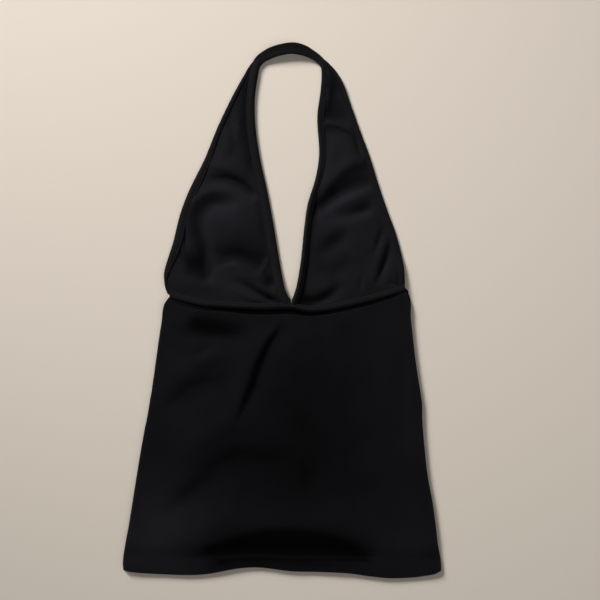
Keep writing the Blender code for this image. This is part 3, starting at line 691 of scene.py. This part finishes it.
def bindingPath(width, offset, groove):
    # half of a folded binding with a stitched groove, from its turned-under end to the fold, as distances
    # in and up
    inner = np.maximum(width - 3.0, 1.2)
    return [
        (inner, 0.58 * offset), (width - 1.2, 0.55 * offset), (width - 0.45, 0.58 * offset),
        (width - 0.12, 0.68 * offset), (width, 0.8 * offset), (width - 0.1, 0.93 * offset),
        (width - 0.4, 1.01 * offset), (width - 0.9, (1.02 - 0.04 * groove) * offset),
        (width - 1.4, (1.04 - 0.18 * groove) * offset), (width - 1.9, (1.06 - 0.14 * groove) * offset),
        (width - 2.6, (1.09 - 0.03 * groove) * offset), (0.55 * width + 0.5, 1.16 * offset),
        (0.35 * width + 0.6, 1.14 * offset), (0.2 * width + 0.8, 1.06 * offset),
        (1.5 + 0 * width, 0.94 * offset), (0.95 + 0 * width, 0.76 * offset),
        (0.5 + 0 * width, 0.5 * offset), (0.27 + 0 * width, 0.22 * offset),
    ]


def binding(name, x, y, inX, inY, width, offset, lift, height, tip, groove=1.0, dark=0.0, bright=0.2):
    # stations along the edge; tip raises a roll near the fold, bright lightens it with painted light, and
    # dark darkens beyond it with painted shade
    travel = travelled(x, y)
    pucker = ripples(travel, 0 * travel, 7, 0.05, 21)
    width = width + ripples(travel, 0 * travel, 23, 0.16, 22)
    half = bindingPath(width, offset * (1 + pucker), groove)
    corners = half + [(0.25 + 0 * width, 0 * width)] + [(inward, -up) for inward, up in reversed(half)]
    inward = np.stack([corner[0] for corner in corners], axis=1)
    up = np.stack([corner[1] + 0 * width for corner in corners], axis=1)
    share = inward / np.maximum(width, 3)[:, None]
    px = x[:, None] + inward * inX[:, None]
    py = y[:, None] + inward * inY[:, None]
    raised = tip[:, None] * ease(inward / 2.2) * ease(1.25 - share)
    paintedShading = (bright + 0 * width)[:, None] * ease(1 - share / 0.4)
    paintedShading -= (dark + 0 * width)[:, None] * ease((share - 0.3) / 0.3)
    z = height(px, py) + lift[:, None] + up + raised
    z = np.maximum(z, 0.3)
    steps = np.hypot(np.diff(inward, axis=1), np.diff(up, axis=1))
    around = np.concatenate([np.zeros((len(x), 1)), np.cumsum(steps, axis=1)], axis=1)
    along = travel[:, None] + 0 * around
    return clothSheet(name, px, py, z, along, around, cloth["bindingWall"], bindingJersey, paintedShading)


def evenPlaces(sections, side, start, end, spacing):
    # places along an edge, evenly spaced in length
    fine = np.linspace(start, end, 600)
    travel = travelled(column(sections, side + "X", fine), column(sections, side + "Y", fine))
    return np.interp(np.linspace(0, travel[-1], max(int(travel[-1] / spacing), 4)), travel, fine)


# the Dark rows are painted shade beyond the binding's roll and the Bright rows painted light on it
neckBinding = {"start": 0.35, "spacing": 1.4, "offset": 1.35, "strapOffset": 0.75, "closing": 0.7,
               "leftTip": [0.2, 0.3, 0.4, 0.4, 0.4, 0.4, 0.5, 0.7, 0.8, 0.8, 0.6],
               "rightTip": [0.6, 1.2, 1.6, 1.7, 1.7, 1.5, 0.9, 0.3, 0.1, 0.1, 0.2, 0.4],
               "leftDark": [0.2, 0.1, 0.0, 0.0, 0.0, 0.0, 0.1, 0.15, 0.15, 0.1, 0.0],
               "rightDark": [0.6, 0.6, 0.55, 0.5, 0.5, 0.4, 0.2, 0.1, 0.1, 0.1, 0.05, 0.0],
               "leftGroove": 0.5, "rightGroove": 0.1,
               "leftBright": [0.2] * 11,
               "rightBright": [0.2] * 7 + [0.15, -0.1, -0.35, -0.2, 0.1],
               "leftThick": [1.0] * 11,
               "rightThick": [1.0, 1.0, 1.0, 1.0, 1.0, 0.95, 0.8, 0.55, 0.42, 0.42, 0.5, 0.75],
               "leftWidth": [8.0, 9.0, 9.3, 9.4, 9.4, 9.2, 9.0, 8.8, 8.6, 8.5, 9.0],
               "rightWidth": [7.0] * 11 + [7.2]}
# dark and bright are painted shade and painted light along the strap, dark on its shaded inner side
nape = {
    "x": [-23.4, -17.8, -6.4, 8.3, 20.0, 28.5, 35.6, 39.9],
    "y": [256.6, 261.4, 266.0, 268.6, 267.4, 264.8, 261.2, 256.8],
    "width": [9.4, 10.2, 11.3, 11.8, 11.1, 9.0, 7.6, 7.2],
    "lift": [0.0, 0.8, 2.6, 3.6, 2.8, 1.5, 0.4, 0.0],
    "dark": [0.0, 0.3, 0.6, 0.5, 0.35, -0.1, -0.15, 0.0],
    "bright": [0.2, 0.1, -0.05, -0.25, -0.05, 0.35, 0.4, 0.1],
}


def makeArmBinding(side):
    values = armBindings[side]
    panel = bustPanels[side]
    place = evenPlaces(panel["sections"], "arm", *values["ends"], values["spacing"])
    x, y, inX, inY = edgeInward(panel["sections"], "arm", panel["turn"], place)
    width, offset, lift = [curveThrough(values["y"], values[name], y) for name in ("width", "offset", "lift")]
    return binding("armBinding" + side.capitalize(), x, y, inX, inY, width, offset, lift, edgeHeight,
                   0 * x, 0.8)


def makeNeckBinding():
    values = neckBinding
    parts = []
    for side in ("left", "right"):
        panel = bustPanels[side]
        last = len(panel["sections"]["neckX"]) - 2           # where the strap starts
        place = evenPlaces(panel["sections"], "neck", values["start"], last, values["spacing"])
        x, y, inX, inY = edgeInward(panel["sections"], "neck", -panel["turn"], place)
        width = curveThrough(range(last + 1), values[side + "Width"], place)
        thin = 0.55 + 0.45 * ease((place - values["start"]) / 0.6)
        tip, dark, thick, bright = [curveThrough(range(last + 1), values[side + kind], place)
                                    for kind in ("Tip", "Dark", "Thick", "Bright")]
        parts.append([x, y, inX, inY, width, values["offset"] * thin * thick, 0 * x, tip,
                      values[side + "Groove"] + 0 * x, dark, bright])
    last = len(nape["x"]) - 1
    fine = np.linspace(0, last, 600)
    travel = travelled(column(nape, "x", fine), column(nape, "y", fine))
    place = np.interp(np.arange(values["spacing"], travel[-1] - 1, values["spacing"]), travel, fine)
    x, y, runX, runY = tableLine(nape, "x", "y", place)
    closed = ease(place / values["closing"]) * ease((last - place) / values["closing"])
    offset = values["offset"] + (values["strapOffset"] - values["offset"]) * closed
    names = ("width", "lift", "dark", "bright")
    width, lift, dark, bright = [column(nape, name, place) for name in names]
    strap = [x, y, -runY, runX, width, offset, lift, 0.6 * (1 - closed), 0.4 * (1 - closed), dark, bright]
    whole = [np.concatenate([part[0], middle, part[1][::-1]]) for part, middle in zip(zip(*parts), strap)]
    return binding("neckBinding", *whole[:7], edgeHeight, *whole[7:])


def makeBackBinding():
    place = np.linspace(0, len(backTop["x"]) - 1, 180)
    x, y, runX, runY = tableLine(backTop, "x", "y", place)
    still = 0 * x
    turned = ease((x - 120) / 9)
    # the turned end at the right corner gets painted light where the front shades it, and the rest a little
    # painted light near the fold
    return binding("backBinding", x, y, runY, -runX, 8 - 4.5 * turned, 1.3 - 0.5 * turned, still,
                   lambda px, py: cloth["boundHeight"] + 0 * px, still, bright=0.2 + 1.6 * turned)


armLeft = makeArmBinding("left")
armRight = makeArmBinding("right")
neckPiece = makeNeckBinding()
backEdge = makeBackBinding()

# dark is the painted shade over the band's lower edge along its run
band = {"width": 6.4, "under": 2.4, "wall": 0.42, "low": 5.75, "overlap": 1.0, "stitchLine": 5.05,
        "x": [-118, -104, -84, -62, -40, 20, 40, 60, 95, 115, 128],
        "dark": [0.0, 0.25, 0.5, 0.75, 0.85, 0.85, 0.8, 0.55, 0.35, 0.3, 0.0]}


def makeBand():
    along = np.linspace(-118, 128, 240)
    width, under = band["width"], band["under"]
    section = [(under, 0.0), (1.2, 0.0), (0.5, 0.03), (0.12, 0.1), (0.0, 0.22), (0.2, 0.36), (0.7, 0.5),
               (1.3, 0.64), (1.9, 0.78), (2.5, 0.87), (3.2, 0.9), (4.0, 0.84), (4.6, 0.7), (5.0, 0.58),
               (5.4, 0.6), (5.8, 0.56), (6.15, 0.44), (width, 0.28), (6.3, 0.13), (6.0, 0.03), (5.4, 0.0),
               (width - under + 0.2, 0.0)]
    up, out = [np.array(values) for values in zip(*section)]
    puckered = 1 + ripples(along, 0 * along, 6, 0.05, 31)
    x = along[:, None] + 0 * up
    y = seamY(along)[:, None] - band["overlap"] + up
    z = band["low"] + out * puckered[:, None]
    around = travelled(up, out)
    x, y, z = x.T, y.T, z.T
    flatX, flatY = x, around[:, None] + 0 * x
    dark = np.maximum(curveThrough(band["x"], band["dark"], along), 0)
    stitched = np.exp(-((up - band["stitchLine"]) / 0.45) ** 2)[:, None]
    # painted light over the band, painted shade along its stitched groove and over its lower edge
    paintedShading = 0.25 - 0.75 * stitched - dark * ease((2.7 - up) / 0.8)[:, None]
    return clothSheet("bandPiece", x, y, z, flatX, flatY, band["wall"], bindingJersey, paintedShading)


bandPiece = makeBand()
print("bindings made")


# Stitches

stitch = {"length": 2.1, "pitch": 2.7, "width": 0.42, "height": 0.26, "bow": 0.1, "inset": 1.4,
          "backHem": 13.2, "backTop": 6.6}


def stitchShape():
    # one stitch as corner points and faces, lying along X
    bpy.ops.object.select_all(action="DESELECT")
    bpy.ops.mesh.primitive_uv_sphere_add(segments=6, ring_count=5, radius=0.5, rotation=(0, math.pi / 2, 0))
    shape = bpy.context.object
    shape.scale = (stitch["height"], stitch["width"], stitch["length"])
    bpy.ops.object.transform_apply(location=False, rotation=True, scale=True)
    points = np.array([tuple(vertex.co) for vertex in shape.data.vertices])
    faces = [tuple(face.vertices) for face in shape.data.polygons]
    bpy.data.objects.remove(shape)
    return points, faces


stitchPoints, stitchFaces = stitchShape()


def stitchRow(name, x, y, z):
    # stitches along a line of points, their ends sunk into the cloth
    travel = np.concatenate([[0], np.cumsum(np.hypot(np.hypot(np.diff(x), np.diff(y)), np.diff(z)))])
    middles = np.arange(stitch["pitch"], travel[-1] - stitch["pitch"] / 2, stitch["pitch"])
    points = []
    faces = []
    for number, middle in enumerate(middles):
        here = np.array([np.interp(middle, travel, values) for values in (x, y, z)])
        ahead = np.array([np.interp(middle + 0.7, travel, values) for values in (x, y, z)])
        run = (ahead - here) / np.linalg.norm(ahead - here)
        side = np.cross((0, 0, 1), run)
        side /= np.linalg.norm(side)
        top = np.cross(run, side)
        start = number * len(stitchPoints)
        bowed = stitchPoints.copy()
        bowed[:, 2] -= stitch["bow"] * (2 * bowed[:, 0] / stitch["length"]) ** 2
        points.append(here + bowed @ np.stack([run, side, top]))
        faces.extend([tuple(corner + start for corner in face) for face in stitchFaces])
    mesh = bpy.data.meshes.new(name)
    mesh.from_pydata((np.concatenate(points) * mm).tolist(), [], faces)
    mesh.materials.append(thread)
    mesh.shade_smooth()
    row = bpy.data.objects.new(name, mesh)
    bpy.context.scene.collection.objects.link(row)
    return row


def surfaceUnder(pieces, x, y, fromAbove=True):
    # height of the cloth at points, from above or below
    graph = bpy.context.evaluated_depsgraph_get()
    heights = []
    for atX, atY in zip(x, y):
        best = None
        for piece in pieces:
            start = (atX * mm, atY * mm, 0.05 if fromAbove else -0.05)
            hit, point, _, _ = piece.evaluated_get(graph).ray_cast(start, (0, 0, -1 if fromAbove else 1))
            if hit and (best is None or (point.z > best) == fromAbove):
                best = point.z
        heights.append(np.nan if best is None else best / mm)
    return np.array(heights)


def sewnRow(name, pieces, x, y, fromAbove=True):
    z = surfaceUnder(pieces, x, y, fromAbove)
    kept = ~np.isnan(z)
    return stitchRow(name, x[kept], y[kept], z[kept])


def edgeStitches(name, side, edge, start, end, inset, piece):
    panel = bustPanels[side]
    place = evenPlaces(panel["sections"], edge, start, end, 2.5)
    turn = panel["turn"] if edge == "arm" else -panel["turn"]
    x, y, inX, inY = edgeInward(panel["sections"], edge, turn, place)
    inward = inset(place, y)
    return sewnRow(name, [piece], x + inward * inX, y + inward * inY)


def armInset(side):
    values = armBindings[side]
    return lambda place, y: curveThrough(values["y"], values["width"], y) - stitch["inset"]


def neckInset(side):
    widths = neckBinding[side + "Width"]
    return lambda place, y: curveThrough(range(len(widths)), widths, place) - stitch["inset"]


stitchPieces = [
    edgeStitches("armStitchLeft", "left", "arm", 1.3, 9.4, armInset("left"), armLeft),
    edgeStitches("armStitchRight", "right", "arm", 0.6, 10.2, armInset("right"), armRight),
    edgeStitches("neckStitchLeft", "left", "neck", 0.9, 9.9, neckInset("left"), neckPiece),
    edgeStitches("neckStitchRight", "right", "neck", 0.9, 10.9, neckInset("right"), neckPiece),
]
bandX = np.linspace(-112, 126, 110)
bandY = seamY(bandX) - band["overlap"] + band["stitchLine"]
stitchPieces.append(sewnRow("bandStitch", [bandPiece], bandX, bandY))
hemX = np.linspace(-161, 161, 140)
for number, row in enumerate(hemStitching["rows"]):
    backY = hemY(hemX) + stitch["backHem"] + row
    stitchPieces.append(sewnRow("frontHemStitch" + str(number), [front], hemX, hemStitchY(hemX) + row))
    stitchPieces.append(sewnRow("backHemStitch" + str(number), [back], hemX, backY, False))
topX = np.linspace(-118, 130, 110)
stitchPieces.append(sewnRow("backTopStitch", [backEdge], topX, backTopY(topX) - stitch["backTop"], False))
print("stitches made")


# What each piece rides on and which frame part it stands in for

def take(piece, node):
    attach(piece, "root")
    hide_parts(node)


take(back, "back_panel")
take(front, "front_panel")
take(bustLeft, "bust_panel_left")
take(bustRight, "bust_panel_right")
take(bandPiece, "underbust_band")
take(neckPiece, "neck_binding")
take(armLeft, "arm_binding_left")
take(armRight, "arm_binding_right")
take(backEdge, "back_binding")
for row in stitchPieces:
    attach(row, "root")


# Floor, light and camera

floorLook = {"colour": (0.655, 0.597, 0.535), "roughness": 0.9, "shine": 0.1, "size": 14.0}
lights = {
    "key": {"kind": "AREA", "at": (-1.42, 1.98, 1.2), "aim": (0.02, 0.26, 0.0), "power": 14.9,
            "colour": (1.0, 0.975, 0.93), "size": 0.9, "spread": 60},
    "fill": {"kind": "SUN", "at": (1.4, -1.3, 1.9), "aim": (0.0, 0.0, 0.0), "power": 0.7,
             "colour": (1.0, 0.98, 0.95), "angle": 40},
}
studio = {"light": (0.085, 0.083, 0.082, 1.0), "seen": (0.42, 0.385, 0.345, 1.0)}
view = {"at": (0.01832, 0.01118, 0.8775), "lens": 50, "sensor": 36}

bpy.ops.object.select_all(action="DESELECT")
bpy.ops.mesh.primitive_plane_add(size=floorLook["size"], location=(0, 0, 0))
floor = bpy.context.object
floor.name = "floor"
floor.data.materials.append(plainMaterial("pale floor", floorLook))

for name, values in lights.items():
    bpy.ops.object.light_add(type=values["kind"], location=values["at"])
    lamp = bpy.context.object
    lamp.name = name
    if values["kind"] == "AREA":
        lamp.data.size = values["size"]
        lamp.data.spread = math.radians(values["spread"])
    else:
        lamp.data.angle = math.radians(values["angle"])
    lamp.data.energy = values["power"]
    lamp.data.color = values["colour"]
    lamp.visible_camera = False
    away = np.array(values["at"]) - np.array(values["aim"])
    tilt = math.atan2(math.hypot(away[0], away[1]), away[2])
    lamp.rotation_euler = (tilt, 0, math.atan2(away[1], away[0]) + math.pi / 2)

world = bpy.data.worlds.new("studio")
world.use_nodes = True
surround = world.node_tree.nodes["Background"]
path = addNode(world.node_tree, "LightPath", {})
shade = addNode(world.node_tree, "Mix", {"Factor": path.outputs["Is Camera Ray"], "A": studio["light"],
                                         "B": studio["seen"]}, data_type="RGBA")
setInputs(world.node_tree, surround, {"Color": shade.outputs["Result"]})
bpy.context.scene.world = world

bpy.ops.object.camera_add(location=view["at"], rotation=(0, 0, 0))
camera = bpy.context.object
camera.name = "view from above"
camera.data.lens = view["lens"]
camera.data.sensor_width = view["sensor"]
bpy.context.scene.camera = camera
bpy.context.scene.view_settings.view_transform = "Standard"
print("stage made")
